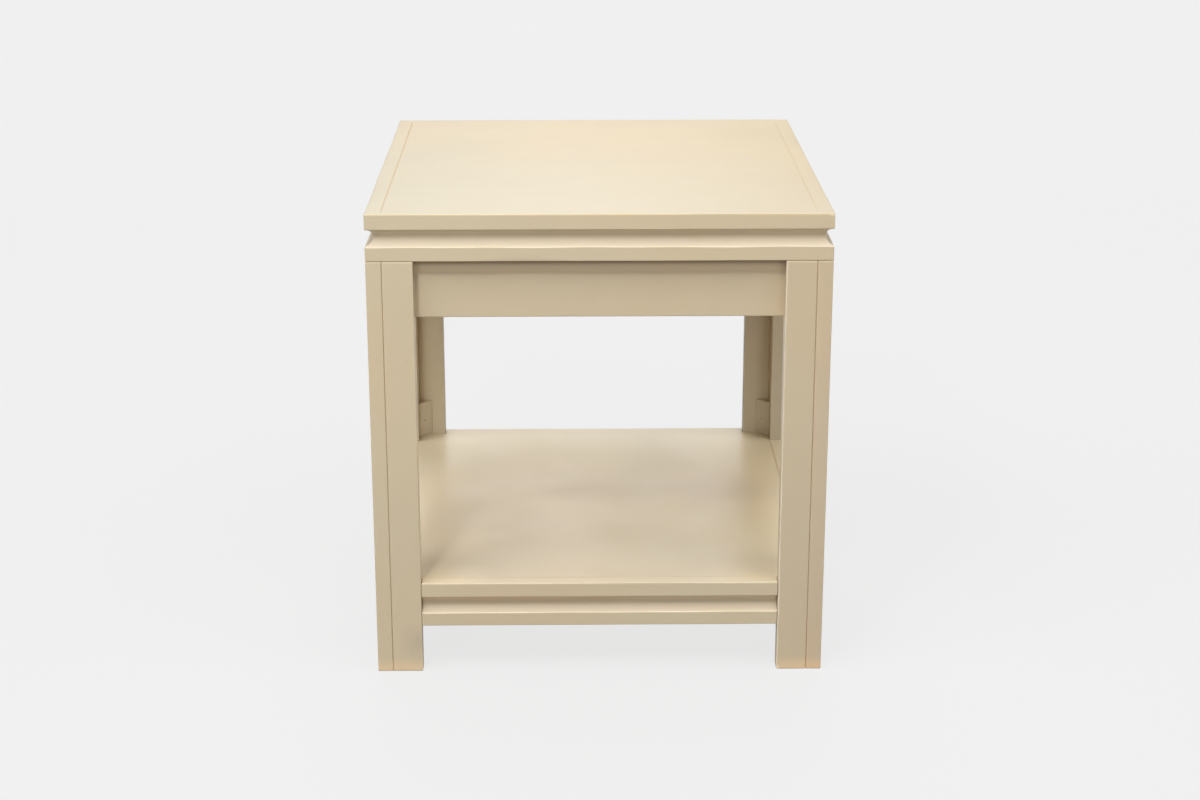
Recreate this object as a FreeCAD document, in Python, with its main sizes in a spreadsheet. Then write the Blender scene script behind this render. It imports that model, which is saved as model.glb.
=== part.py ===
import FreeCAD, Part
import math
import os

import Sketcher
from FreeCAD import Placement, Rotation, Vector

# A lacquered end table with a lower shelf.  Millimetres, +Z up, +Y towards the
# back; the origin is on the floor under the middle of the table.
#
# Everything is 19 mm board.  An inner core (top panel, apron frame, shelf panel)
# is wrapped by one outer layer of the same thickness: the L-shaped legs, the
# mitred edge of the top and the edge of the shelf all lie in that layer and are
# flush with each other.

doc = FreeCAD.newDocument("EndTable")
sheet = doc.addObject("Spreadsheet::Sheet", "Sizes")

CELLS = [
    ("table_width", "560", "overall width, left to right"),
    ("table_depth", "610", "overall depth, front to back"),
    ("table_height", "590", "floor to the surface of the top"),
    ("board", "19", "thickness of all boards and panels"),
    ("edge_height", "57", "height of the moulded edge of top and shelf"),
    ("upper_band", "18.4", "flat band above the hollow"),
    ("lower_band", "17.5", "flat band below the hollow"),
    ("hollow_depth", "9.5", "depth of the hollow at its crease"),
    ("hollow_line", "28.3", "crease of the hollow above the lower edge"),
    ("cove_radius", "10.4", "radius of the cove over the crease"),
    ("bevel_radius", "17.5", "radius of the hollow bevel under the crease"),
    ("arris", "1", "eased edges of the boards"),
    ("leg_width", "56.5", "width of a leg seen from the front"),
    ("leg_return", "56.5", "width of a leg seen from the side"),
    ("apron_drop", "74", "apron below the edge of the top"),
    ("shelf_height", "119", "floor to the surface of the shelf"),
    ("fit_gap", "0.5", "gap at each end of a shelf edge"),
    ("apron_block", "60", "corner blocks of the apron frame, along each board"),
    ("apron_block_height", "30", "height of the apron corner blocks"),
    ("shelf_block", "19", "corner blocks on the shelf, along each board"),
    ("shelf_block_height", "52", "height of the corner blocks on the shelf"),
    ("support_block", "40", "corner blocks under the shelf, along each board"),
    ("support_block_height", "34", "height of the corner blocks under the shelf"),
    ("screw_dia", "4", "shank of the wood screws"),
    ("screw_head_dia", "8", "head of the wood screws"),
    ("screw_head_height", "2.6", "height of the heads"),
    ("screw_short", "30", "length under the head, leg and apron block screws"),
    ("screw_long", "40", "length under the head, top and shelf screws"),
    ("screw_play", "0.1", "play of a screw or brad in its hole, on diameter"),
    ("recess_dia", "9", "recess that takes a screw head"),
    ("recess_depth", "3", "depth of the head recess"),
    ("leg_screw_in", "9", "leg screws, in from the leg's inner edge"),
    ("leg_screw_low", "19", "lower leg screws above the apron's lower edge"),
    ("leg_screw_high", "55", "upper leg screws above the apron's lower edge"),
    ("block_screw_in", "22", "apron block screws, out from the corner"),
    ("block_screw_seat", "20", "head of an apron block screw off the apron"),
    ("block_screw_low", "8", "lower screw in an apron block"),
    ("block_screw_high", "22", "upper screw in an apron block"),
    ("top_screw_in", "11", "top screws, out from the apron's inner corner"),
    ("shelf_screw_in", "13", "shelf screws, out from the legs' inner corner"),
    ("brad_dia", "1.6", "brads of the corner blocks on the shelf"),
    ("brad_length", "17", "length of the brads"),
    ("brad_height", "24", "brads above the shelf"),
    ("brad_set", "1", "brads set below the face of their block"),
]


class Size:
    """A length with the formula that drives it."""

    def __init__(self, text, value):
        self.text, self.value = text, float(value)

    def _join(self, sign, other, value):
        return Size("(%s %s %s)" % (self.text, sign, size(other).text), value)

    def __add__(self, other):
        return self._join("+", other, self.value + size(other).value)

    def __sub__(self, other):
        return self._join("-", other, self.value - size(other).value)

    def __mul__(self, other):
        return self._join("*", other, self.value * size(other).value)

    def __truediv__(self, other):
        return self._join("/", other, self.value / size(other).value)

    def __neg__(self):
        return Size("(-%s)" % self.text, -self.value)


def size(number):
    return number if isinstance(number, Size) else Size(repr(float(number)), number)


S = {}
for row, (alias, text, note) in enumerate(CELLS, start=1):
    sheet.set("A%d" % row, note)
    sheet.set("B%d" % row, text)
    sheet.setAlias("B%d" % row, alias)
    S[alias] = Size("Sizes." + alias, float(text))
doc.recompute()

ZERO = size(0)
board = S["board"]
half_w, half_d = S["table_width"] / 2, S["table_depth"] / 2
core_x, core_y = half_w - board, half_d - board  # outside of the inner core
frame_x, frame_y = core_x - board, core_y - board  # inside of the apron frame
leg_height = S["table_height"] - S["edge_height"]
leg_x = half_w - S["leg_width"]  # inner edge of a leg's face board
leg_y = half_d - S["leg_return"]  # inner edge of a leg's side board
apron_z = leg_height - S["apron_drop"]
panel_z = S["table_height"] - board  # underside of the top panel
apron_height = panel_z - apron_z
shelf_edge_z = S["shelf_height"] - S["edge_height"]
shelf_panel_z = S["shelf_height"] - board
hole_dia = S["screw_dia"] + S["screw_play"]

nodes = {}


# ---------------------------------------------------------------- sketch helpers


def new_body(label, base, turn=0, listed=True):
    body = doc.addObject("PartDesign::Body", label)
    body.Label = label
    base = [size(b) for b in base]
    body.Placement = Placement(
        Vector(*[b.value for b in base]), Rotation(Vector(0, 0, 1), turn)
    )
    for axis, b in zip("xyz", base):
        body.setExpression("Placement.Base." + axis, b.text)
    if listed:
        nodes[label] = body
    return body


def sketch_on(body, name, role, offset=None):
    """A sketch on one of the body's own planes, moved along the plane's normal."""
    sketch = body.newObject("Sketcher::SketchObject", name)
    plane = [f for f in body.Origin.OriginFeatures if f.Role == role][0]
    sketch.AttachmentSupport = [(plane, "")]
    sketch.MapMode = "FlatFace"
    if offset is not None:
        sketch.AttachmentOffset = Placement(Vector(0, 0, offset.value), Rotation())
        sketch.setExpression("AttachmentOffset.Base.z", offset.text)
    return sketch


def dimension(sketch, kind, refs, length):
    index = sketch.addConstraint(Sketcher.Constraint(kind, *refs, length.value))
    name = "%s_%d" % (kind.lower(), index)
    sketch.renameConstraint(index, name)
    sketch.setExpression("Constraints." + name, length.text)


def place_point(sketch, geo, pos, x, y):
    """Dimensions one point of the sketch from the sketch's origin."""
    for kind, axis, value in (("DistanceX", -2, size(x)), ("DistanceY", -1, size(y))):
        if value.value == 0:
            sketch.addConstraint(Sketcher.Constraint("PointOnObject", geo, pos, axis))
        elif value.value > 0:
            dimension(sketch, kind, (-1, 1, geo, pos), value)
        else:
            dimension(sketch, kind, (geo, pos, -1, 1), -value)


def outline(sketch, points):
    """A closed polygon with every corner dimensioned."""
    at = [Vector(size(x).value, size(y).value, 0) for x, y in points]
    count = len(at)
    lines = [
        sketch.addGeometry(Part.LineSegment(at[i], at[(i + 1) % count]), False)
        for i in range(count)
    ]
    for i in range(count):
        sketch.addConstraint(
            Sketcher.Constraint("Coincident", lines[i], 2, lines[(i + 1) % count], 1)
        )
    for line, (x, y) in zip(lines, points):
        place_point(sketch, line, 1, x, y)


def pad(body, sketch, length):
    feature = body.newObject("PartDesign::Pad", "Pad")
    feature.Profile = sketch
    feature.Length = length.value
    feature.setExpression("Length", length.text)
    sketch.Visibility = False
    doc.recompute()
    return feature


def cut(body, sketch, name, depth=None, forward=False):
    """A pocket into the body: through everything, or to a depth.  Forward cuts along
    the sketch's normal, otherwise it cuts whichever way the wood is."""
    before = body.Shape.Volume
    feature = body.newObject("PartDesign::Pocket", name)
    feature.Profile = sketch
    feature.Reversed = forward
    if depth is None:
        feature.Type = "ThroughAll"
    else:
        feature.Type = "Length"
        feature.Length = depth.value
        feature.setExpression("Length", depth.text)
    doc.recompute()
    if before - body.Shape.Volume < 1e-3:
        feature.Reversed = True
        doc.recompute()
    if before - body.Shape.Volume < 1e-3:
        raise RuntimeError("%s of %s removes nothing" % (name, body.Label))
    return feature


def drill(
    body, name, role, centres, diameter, depth=None, offset=None, forward=False
):
    sketch = sketch_on(body, name + "Sketch", role, offset)
    for x, y in centres:
        x, y = size(x), size(y)
        circle = sketch.addGeometry(
            Part.Circle(
                Vector(x.value, y.value, 0), Vector(0, 0, 1), diameter.value / 2
            ),
            False,
        )
        place_point(sketch, circle, 3, x, y)
        dimension(sketch, "Diameter", (circle,), diameter)
    return cut(body, sketch, name, depth, forward)


def ease(body, feature, wanted):
    """Chamfers the edges whose middle point passes the test."""
    names = [
        "Edge%d" % i
        for i, e in enumerate(feature.Shape.Edges, start=1)
        if wanted(e.CenterOfMass)
    ]
    chamfer = body.newObject("PartDesign::Chamfer", "EasedEdges")
    chamfer.Base = (feature, names)
    chamfer.Size = S["arris"].value
    chamfer.setExpression("Size", S["arris"].text)
    doc.recompute()
    return chamfer


# ---------------------------------------------------------------- kinds of piece


def along(base, turn, x, y):
    """Distance of a point of the table along an upright board, from its start."""
    return {
        0: size(x) - base[0],
        180: size(base[0]) - x,
        90: size(y) - base[1],
        -90: size(base[1]) - y,
    }[turn]


def upright(label, width, height, base, turn, wanted=None):
    """An upright board.  Its inner face is local y = 0 and its outer face y = board."""
    body = new_body(label, base, turn)
    sketch = sketch_on(body, "Section", "XY_Plane")
    outline(sketch, [(ZERO, ZERO), (width, ZERO), (width, board), (ZERO, board)])
    feature = pad(body, sketch, height)
    if wanted:
        ease(body, feature, wanted)
    return body


def panel(label, z):
    body = new_body(label, (-core_x, -core_y, z))
    sketch = sketch_on(body, "Outline", "XY_Plane")
    x, y = core_x * 2, core_y * 2
    outline(sketch, [(ZERO, ZERO), (x, ZERO), (x, y), (ZERO, y)])
    pad(body, sketch, board)
    return body


def moulding(label, length, base, turn, mitred):
    """A length of the moulded edge.  Local x runs along it, its outer face is y = 0."""
    body = new_body(label, base, turn)
    sketch = sketch_on(body, "Profile", "YZ_Plane")
    a, top = S["arris"], S["edge_height"]
    low, high = S["lower_band"], S["edge_height"] - S["upper_band"]
    deep, crease = S["hollow_depth"], S["hollow_line"]
    corners = [
        (board, ZERO),
        (a, ZERO),
        (ZERO, a),
        (ZERO, low),
        (deep, crease),
        (ZERO, high),
        (ZERO, top - a),
        (a, top),
        (board, top),
    ]
    at = [Vector(size(y).value, size(z).value, 0) for y, z in corners]
    curves = {3: S["bevel_radius"], 4: S["cove_radius"]}
    geos = []
    for i, start in enumerate(at):
        end = at[(i + 1) % len(at)]
        if i in curves:
            # both arcs hollow the wood out, so their centres lie outside the face
            radius = curves[i].value
            middle, chord = (start + end) * 0.5, end - start
            out = Vector(-chord.y, chord.x, 0).normalize()
            centre = middle + out * math.sqrt(radius**2 - (chord.Length / 2) ** 2)
            first, last = [
                math.atan2(p.y - centre.y, p.x - centre.x) for p in (start, end)
            ]
            geos.append(
                sketch.addGeometry(
                    Part.ArcOfCircle(
                        Part.Circle(centre, Vector(0, 0, 1), radius), first, last
                    ),
                    False,
                )
            )
        else:
            geos.append(sketch.addGeometry(Part.LineSegment(start, end), False))
    for i in range(len(geos)):
        sketch.addConstraint(
            Sketcher.Constraint("Coincident", geos[i], 2, geos[(i + 1) % len(geos)], 1)
        )
    for geo, (y, z) in zip(geos, corners):
        place_point(sketch, geo, 1, y, z)
    for i, radius in curves.items():
        dimension(sketch, "Radius", (geos[i],), radius)
    feature = pad(body, sketch, length)
    if mitred:
        ends = sketch_on(body, "Mitres", "XY_Plane")
        past = board + 1
        outline(ends, [(size(-1), size(-1)), (past, past), (size(-1), past)])
        outline(ends, [(length + 1, size(-1)), (length + 1, past), (length - past, past)])
        cut(body, ends, "MitreCut")
    else:
        # square ends, eased where they meet the legs
        ease(
            body,
            feature,
            lambda p: min(p.x, length.value - p.x) < 0.01 and p.y < 0.6,
        )
    return body


def corner_block(label, side, height, base, turn):
    """A three-cornered block.  Its right angle is at the local origin."""
    body = new_body(label, base, turn)
    sketch = sketch_on(body, "Triangle", "XY_Plane")
    outline(sketch, [(ZERO, ZERO), (side, ZERO), (ZERO, side)])
    pad(body, sketch, height)
    return body


def wood_screw(label, length):
    """A slotted pan-head wood screw, head seat at the origin, point along +Z."""
    body = new_body(label, (0, 0, 0), listed=False)
    r, head, high = S["screw_dia"] / 2, S["screw_head_dia"] / 2, S["screw_head_height"]
    sketch = sketch_on(body, "HalfSection", "XZ_Plane")
    outline(
        sketch,
        [
            (ZERO, -high),
            (head * 0.62, -high),
            (head, -(high * 0.45)),
            (head, ZERO),
            (r, ZERO),
            (r, length - S["screw_dia"] * 1.3),
            (ZERO, length),
        ],
    )
    turned = body.newObject("PartDesign::Revolution", "Turned")
    turned.Profile = sketch
    turned.ReferenceAxis = (sketch, ["V_Axis"])
    turned.Angle = 360.0
    doc.recompute()
    slot = sketch_on(body, "Slot", "XY_Plane", -high)
    x, y = head * 1.2, high * 0.22
    outline(slot, [(-x, -y), (x, -y), (x, y), (-x, y)])
    cut(body, slot, "SlotCut", high * 0.45)
    return body


def group(label, master, seats):
    """Copies of one fastener, as separate solids: (seat point, direction) each."""
    obj = doc.addObject("Part::Feature", label)
    obj.Label = label
    copies = []
    for seat, direction in seats:
        copy = master.copy()
        copy.Placement = Placement(
            Vector(*[size(v).value for v in seat]),
            Rotation(Vector(0, 0, 1), Vector(*direction)),
        )
        copies.append(copy)
    obj.Shape = Part.makeCompound(copies)
    obj.Placement = Placement()
    nodes[label] = obj
    return obj


# ---------------------------------------------------------------- the top

top = panel("top_panel", panel_z)
top_screw_x, top_screw_y = frame_x - S["top_screw_in"], frame_y - S["top_screw_in"]
top_tip = S["screw_long"] + S["recess_depth"] - S["apron_block_height"]
drill(
    top,
    "ScrewHoles",
    "XY_Plane",
    [
        (core_x + x, core_y + y)
        for x in (top_screw_x, -top_screw_x)
        for y in (top_screw_y, -top_screw_y)
    ],
    hole_dia,
    top_tip + 0.5,
)
moulding("top_edge_front", S["table_width"], (-half_w, -half_d, leg_height), 0, True)
moulding("top_edge_rear", S["table_width"], (half_w, half_d, leg_height), 180, True)
moulding("top_edge_left", S["table_depth"], (-half_w, half_d, leg_height), -90, True)
moulding("top_edge_right", S["table_depth"], (half_w, -half_d, leg_height), 90, True)

# ---------------------------------------------------------------- the apron frame
# The front and rear boards run through, the side boards fit between them.

leg_screw_x, leg_screw_y = leg_x + S["leg_screw_in"], leg_y + S["leg_screw_in"]
leg_screw_z = (S["leg_screw_low"], S["leg_screw_high"])
block_screw_x, block_screw_y = (
    frame_x - S["block_screw_in"],
    frame_y - S["block_screw_in"],
)
block_screw_z = apron_height - S["apron_block_height"]
block_tip = S["screw_short"] - S["block_screw_seat"]


def apron(label, length, base, turn, leg_points, block_points):
    body = upright(
        label, length, apron_height, base, turn, lambda p: p.z < 0.01 and abs(
            p.x - length.value / 2
        ) < 0.01,
    )
    holes = [
        (along(base, turn, x, y), z) for x, y in leg_points for z in leg_screw_z
    ]
    drill(body, "LegScrewHoles", "XZ_Plane", holes, hole_dia)
    drill(body, "HeadRecesses", "XZ_Plane", holes, S["recess_dia"], S["recess_depth"])
    first, second = [along(base, turn, x, y) for x, y in block_points]
    drill(
        body,
        "BlockScrewHoles",
        "XZ_Plane",
        [
            (first, block_screw_z + S["block_screw_low"]),
            (second, block_screw_z + S["block_screw_high"]),
        ],
        hole_dia,
        block_tip + 0.5,
    )
    return body


apron(
    "apron_front",
    core_x * 2,
    (core_x, -frame_y, apron_z),
    180,
    [(-leg_screw_x, -frame_y), (leg_screw_x, -frame_y)],
    [(block_screw_x, -frame_y), (-block_screw_x, -frame_y)],
)
apron(
    "apron_rear",
    core_x * 2,
    (-core_x, frame_y, apron_z),
    0,
    [(-leg_screw_x, frame_y), (leg_screw_x, frame_y)],
    [(-block_screw_x, frame_y), (block_screw_x, frame_y)],
)
apron(
    "apron_left",
    frame_y * 2,
    (-frame_x, -frame_y, apron_z),
    90,
    [(-frame_x, -leg_screw_y), (-frame_x, leg_screw_y)],
    [(-frame_x, -block_screw_y), (-frame_x, block_screw_y)],
)
apron(
    "apron_right",
    frame_y * 2,
    (frame_x, frame_y, apron_z),
    -90,
    [(frame_x, -leg_screw_y), (frame_x, leg_screw_y)],
    [(frame_x, block_screw_y), (frame_x, -block_screw_y)],
)

# ---------------------------------------------------------------- the legs
# Each leg is a face board, seen from the front or back, butted to a side board
# whose edge shows beside it.  The eased edges make the V groove between them.

face_width = S["leg_width"] - board
leg_tip = S["screw_short"] + S["recess_depth"] - board
brad_x = core_x - S["shelf_block"] * 0.6
brad_y = core_y - S["shelf_block"] * 0.6
brad_start = S["shelf_block"] * 0.4 - S["brad_set"]
brad_hole = S["brad_dia"] + S["screw_play"]
brad_z = S["shelf_height"] + S["brad_height"]


def leg_board(label, width, base, turn, screw_at, brad_at):
    body = upright(label, width, leg_height, base, turn, lambda p: True)
    at = along(base, turn, *screw_at)
    drill(
        body,
        "ScrewHoles",
        "XZ_Plane",
        [(at, apron_z + z) for z in leg_screw_z],
        hole_dia,
        leg_tip + 0.5,
    )
    if brad_at:
        drill(
            body,
            "BradHole",
            "XZ_Plane",
            [(along(base, turn, *brad_at), brad_z)],
            brad_hole,
            S["brad_length"] - brad_start + 0.5,
        )
    return body


for end, sy, turn in (("front", -1, 180), ("rear", 1, 0)):
    for hand, sx in (("left", -1), ("right", 1)):
        inner, outer = leg_x * sx, core_x * sx
        start = (inner if sx == (1 if turn == 0 else -1) else outer)
        brad = (brad_x * sx, core_y * sy) if sx == sy else None
        leg_board(
            "leg_%s_%s_face" % (end, hand),
            face_width,
            (start, core_y * sy, ZERO),
            turn,
            (leg_screw_x * sx, core_y * sy),
            brad,
        )
for hand, sx, turn in (("left", -1, 90), ("right", 1, -90)):
    for end, sy in (("front", -1), ("rear", 1)):
        inner, outer = leg_y * sy, half_d * sy
        start = (inner if sy == (1 if turn == 90 else -1) else outer)
        brad = (core_x * sx, brad_y * sy) if sx != sy else None
        leg_board(
            "leg_%s_%s_side" % (end, hand),
            S["leg_return"],
            (core_x * sx, start, ZERO),
            turn,
            (core_x * sx, leg_screw_y * sy),
            brad,
        )

# ---------------------------------------------------------------- the shelf

shelf = panel("shelf_panel", shelf_panel_z)
shelf_screw_x, shelf_screw_y = core_x - S["shelf_screw_in"], core_y - S["shelf_screw_in"]
shelf_tip = S["screw_long"] + S["recess_depth"] - S["support_block_height"]
drill(
    shelf,
    "ScrewHoles",
    "XY_Plane",
    [
        (core_x + x, core_y + y)
        for x in (shelf_screw_x, -shelf_screw_x)
        for y in (shelf_screw_y, -shelf_screw_y)
    ],
    hole_dia,
    shelf_tip + 0.5,
)
edge_x, edge_y = leg_x - S["fit_gap"], leg_y - S["fit_gap"]
moulding("shelf_edge_front", edge_x * 2, (-edge_x, -half_d, shelf_edge_z), 0, False)
moulding("shelf_edge_rear", edge_x * 2, (edge_x, half_d, shelf_edge_z), 180, False)
moulding("shelf_edge_left", edge_y * 2, (-half_w, edge_y, shelf_edge_z), -90, False)
moulding("shelf_edge_right", edge_y * 2, (half_w, -edge_y, shelf_edge_z), 90, False)

# ---------------------------------------------------------------- the blocks

corners = (
    ("front_left", -1, -1, 0),
    ("front_right", 1, -1, 90),
    ("rear_right", 1, 1, 180),
    ("rear_left", -1, 1, 270),
)
for name, sx, sy, turn in corners:
    # under the top, in the corners of the apron frame
    body = corner_block(
        "apron_corner_block_" + name,
        S["apron_block"],
        S["apron_block_height"],
        (frame_x * sx, frame_y * sy, panel_z - S["apron_block_height"]),
        turn,
    )
    at = S["block_screw_in"]
    low, high, seat = S["block_screw_low"], S["block_screw_high"], S["block_screw_seat"]
    drill(body, "LowScrewHole", "YZ_Plane", [(at, low)], hole_dia, seat + 1)
    wide, far = S["recess_dia"], S["apron_block"]
    drill(body, "LowRecess", "YZ_Plane", [(at, low)], wide, far, seat, forward=True)
    drill(body, "HighScrewHole", "XZ_Plane", [(at, high)], hole_dia, seat + 1)
    drill(body, "HighRecess", "XZ_Plane", [(at, high)], wide, far, -seat)
    top_at = [(S["top_screw_in"], S["top_screw_in"])]
    drill(body, "TopScrewHole", "XY_Plane", top_at, hole_dia)
    drill(body, "TopRecess", "XY_Plane", top_at, S["recess_dia"], S["recess_depth"])

    # on the shelf, in the inner corners of the legs
    body = corner_block(
        "shelf_corner_block_" + name,
        S["shelf_block"],
        S["shelf_block_height"],
        (core_x * sx, core_y * sy, S["shelf_height"]),
        turn,
    )
    drill(
        body,
        "BradHole",
        "XZ_Plane",
        [(S["shelf_block"] * 0.6, S["brad_height"])],
        brad_hole,
    )

    # under the shelf, in the inner corners of the legs
    body = corner_block(
        "shelf_support_block_" + name,
        S["support_block"],
        S["support_block_height"],
        (core_x * sx, core_y * sy, shelf_panel_z - S["support_block_height"]),
        turn,
    )
    shelf_at = [(S["shelf_screw_in"], S["shelf_screw_in"])]
    drill(body, "ScrewHole", "XY_Plane", shelf_at, hole_dia)
    drill(body, "Recess", "XY_Plane", shelf_at, S["recess_dia"], S["recess_depth"])

# ---------------------------------------------------------------- the fasteners

short = wood_screw("short_screw", S["screw_short"])
long = wood_screw("long_screw", S["screw_long"])
brad = doc.addObject("Part::Cylinder", "brad")
brad.setExpression("Radius", (S["brad_dia"] / 2).text)
brad.setExpression("Height", S["brad_length"].text)
doc.recompute()

seats = []
for z in (apron_z + S["leg_screw_low"], apron_z + S["leg_screw_high"]):
    for sx in (-1, 1):
        for sy in (-1, 1):
            seats.append(
                (
                    (leg_screw_x * sx, (frame_y + S["recess_depth"]) * sy, z),
                    (0, sy, 0),
                )
            )
            seats.append(
                (
                    ((frame_x + S["recess_depth"]) * sx, leg_screw_y * sy, z),
                    (sx, 0, 0),
                )
            )
group("leg_screws", short.Shape, seats)

seats = []
block_z = panel_z - S["apron_block_height"]
for name, sx, sy, turn in corners:
    spin = Rotation(Vector(0, 0, 1), turn)
    for local, direction, z in (
        (
            Vector(S["block_screw_seat"].value, S["block_screw_in"].value, 0),
            Vector(-1, 0, 0),
            block_z + S["block_screw_low"],
        ),
        (
            Vector(S["block_screw_in"].value, S["block_screw_seat"].value, 0),
            Vector(0, -1, 0),
            block_z + S["block_screw_high"],
        ),
    ):
        spot, way = spin.multVec(local), spin.multVec(direction)
        seats.append(((frame_x * sx + spot.x, frame_y * sy + spot.y, z), tuple(way)))
group("apron_block_screws", short.Shape, seats)

group(
    "top_screws",
    long.Shape,
    [
        ((top_screw_x * sx, top_screw_y * sy, block_z + S["recess_depth"]), (0, 0, 1))
        for name, sx, sy, turn in corners
    ],
)
support_z = shelf_panel_z - S["support_block_height"]
group(
    "shelf_screws",
    long.Shape,
    [
        (
            (shelf_screw_x * sx, shelf_screw_y * sy, support_z + S["recess_depth"]),
            (0, 0, 1),
        )
        for name, sx, sy, turn in corners
    ],
)
seats = []
for name, sx, sy, turn in corners:
    spin = Rotation(Vector(0, 0, 1), turn)
    spot = spin.multVec(Vector(S["shelf_block"].value * 0.6, brad_start.value, 0))
    way = spin.multVec(Vector(0, -1, 0))
    seats.append(((core_x * sx + spot.x, core_y * sy + spot.y, brad_z), tuple(way)))
group("shelf_block_brads", brad.Shape, seats)

# ---------------------------------------------------------------- checks and files

doc.recompute()
for obj in doc.Objects:
    if "Invalid" in obj.State or "Error" in obj.State:
        raise RuntimeError("%s failed: %s" % (obj.Label, obj.State))
for label, obj in nodes.items():
    if obj.Shape.isNull() or not obj.Shape.isValid() or not obj.Shape.Solids:
        raise RuntimeError("%s has no valid solid" % label)

os.makedirs("parts", exist_ok=True)
for label, obj in nodes.items():
    obj.Shape.exportStep("parts/%s.step" % label)
print("%d pieces written" % len(nodes))
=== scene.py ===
import math
import random

import bmesh
import bpy
from mathutils import Matrix, Vector


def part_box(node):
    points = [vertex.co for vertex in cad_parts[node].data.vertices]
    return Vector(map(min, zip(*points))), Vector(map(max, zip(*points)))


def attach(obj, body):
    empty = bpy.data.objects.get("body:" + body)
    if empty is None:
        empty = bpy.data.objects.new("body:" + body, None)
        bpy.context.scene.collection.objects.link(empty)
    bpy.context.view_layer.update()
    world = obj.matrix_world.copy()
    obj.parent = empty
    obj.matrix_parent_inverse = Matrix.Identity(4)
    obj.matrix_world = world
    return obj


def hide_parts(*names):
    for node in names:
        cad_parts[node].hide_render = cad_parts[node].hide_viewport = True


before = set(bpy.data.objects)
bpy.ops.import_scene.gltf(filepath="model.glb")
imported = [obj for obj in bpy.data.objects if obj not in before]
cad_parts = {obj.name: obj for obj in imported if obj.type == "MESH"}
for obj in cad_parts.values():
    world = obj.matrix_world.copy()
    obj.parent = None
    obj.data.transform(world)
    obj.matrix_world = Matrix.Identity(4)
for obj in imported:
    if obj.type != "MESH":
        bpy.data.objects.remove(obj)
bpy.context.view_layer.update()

# An end table with a lower shelf, in cream lacquer.  Sizes below are in
# millimetres; every board is laid on the box of the node that it stands for.

MM = 0.001
BOARD = 19.0
EDGE_HEIGHT = 57.0
LOWER_BAND, UPPER_BAND = 17.5, 38.6  # heights in the edge section
# the hollow between the bands, from its lower to its upper arris: inwards, up
SCOOP = (
    (0.0, 17.5),
    (2.5, 18.3),
    (5.0, 19.9),
    (7.2, 22.0),
    (8.9, 24.4),
    (9.6, 27.0),
    (9.5, 29.9),
    (8.7, 32.7),
    (7.0, 35.2),
    (4.2, 37.2),
    (0.0, 38.6),
)


def millimetres(node):
    lo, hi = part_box(node)
    return [c / MM for c in lo], [c / MM for c in hi]


# ------------------------------------------------------------------ small maths


def waves(seed, lengths):
    """A smooth uneven line, roughly between -1 and 1, over a distance in mm."""
    rng = random.Random("table " + seed)
    parts = [(1.0 / math.sqrt(len(lengths)), n * rng.uniform(0.85, 1.2), rng.uniform(0, math.tau)) for n in lengths]
    return lambda t: sum(a * math.sin(math.tau * t / n + p) for a, n, p in parts)


def swell(t, centre, half):
    """1 at the centre, falling smoothly to 0 at half on either side."""
    d = abs(t - centre) / half
    return math.cos(d * math.pi / 2) ** 2 if d < 1 else 0.0


def ramp(t, start, end):
    k = min(1.0, max(0.0, (t - start) / (end - start)))
    return k * k * (3 - 2 * k)


def eased(a, c, b, n):
    """A corner at c worn round between a and b: points with a mask that peaks on the arris."""
    points = []
    for k in range(n + 1):
        s = k / n
        p = [(1 - s) ** 2 * i + 2 * s * (1 - s) * j + s * s * l for i, j, l in zip(a, c, b)]
        points.append((p[0], p[1], 0.25 + 0.75 * math.sin(math.pi * s)))
    return points


def flowing(points):
    """A smooth line through points, as a function of 0 to 1."""
    ends = [tuple(2 * a - b for a, b in zip(points[i], points[j])) for i, j in ((0, 1), (-1, -2))]
    knots = [ends[0], *points, ends[1]]

    def at(s):
        k = min(int(s * (len(points) - 1)), len(points) - 2)
        f = s * (len(points) - 1) - k
        p, q, r, t = knots[k : k + 4]
        return tuple(
            0.5 * (2 * b + (c - a) * f + (2 * a - 5 * b + 4 * c - d) * f**2 + (3 * b - a - 3 * c + d) * f**3)
            for a, b, c, d in zip(p, q, r, t)
        )

    return at


# ------------------------------------------------------------------------ meshes


class Skin:
    """The mesh of one board, with masks for its arrises, its joints and its slope."""

    def __init__(self):
        self.verts, self.faces, self.masks = [], [], {"edge": [], "seam": [], "slope": []}

    def ring(self, points):
        first = len(self.verts)
        for x, y, z, edge, seam, *slope in points:
            self.verts.append((x * MM, y * MM, z * MM))
            self.masks["edge"].append(edge)
            self.masks["seam"].append(seam)
            self.masks["slope"].append(slope[0] if slope else 0.0)
        return list(range(first, len(self.verts)))

    def tube(self, rings):
        loops = [self.ring(r) for r in rings]
        for a, b in zip(loops, loops[1:]):
            for i in range(len(a)):
                j = (i + 1) % len(a)
                self.faces.append((a[i], a[j], b[j], b[i]))
        self.faces.append(tuple(reversed(loops[0])))
        self.faces.append(tuple(loops[-1]))

    def piece(self, name, material, slot, *nodes):
        mesh = bpy.data.meshes.new(name)
        mesh.from_pydata(self.verts, [], self.faces)
        bm = bmesh.new()
        bm.from_mesh(mesh)
        bmesh.ops.recalc_face_normals(bm, faces=bm.faces)
        bm.to_mesh(mesh)
        bm.free()
        for mask, values in self.masks.items():
            mesh.attributes.new(mask, "FLOAT", "POINT").data.foreach_set("value", values)
        mesh.polygons.foreach_set("use_smooth", [True] * len(mesh.polygons))
        mesh.set_sharp_from_angle(angle=math.radians(40))
        mesh.materials.append(material)
        obj = bpy.data.objects.new(name, mesh)
        bpy.context.scene.collection.objects.link(obj)
        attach(obj, "root")
        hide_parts(*nodes)
        return obj


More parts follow.
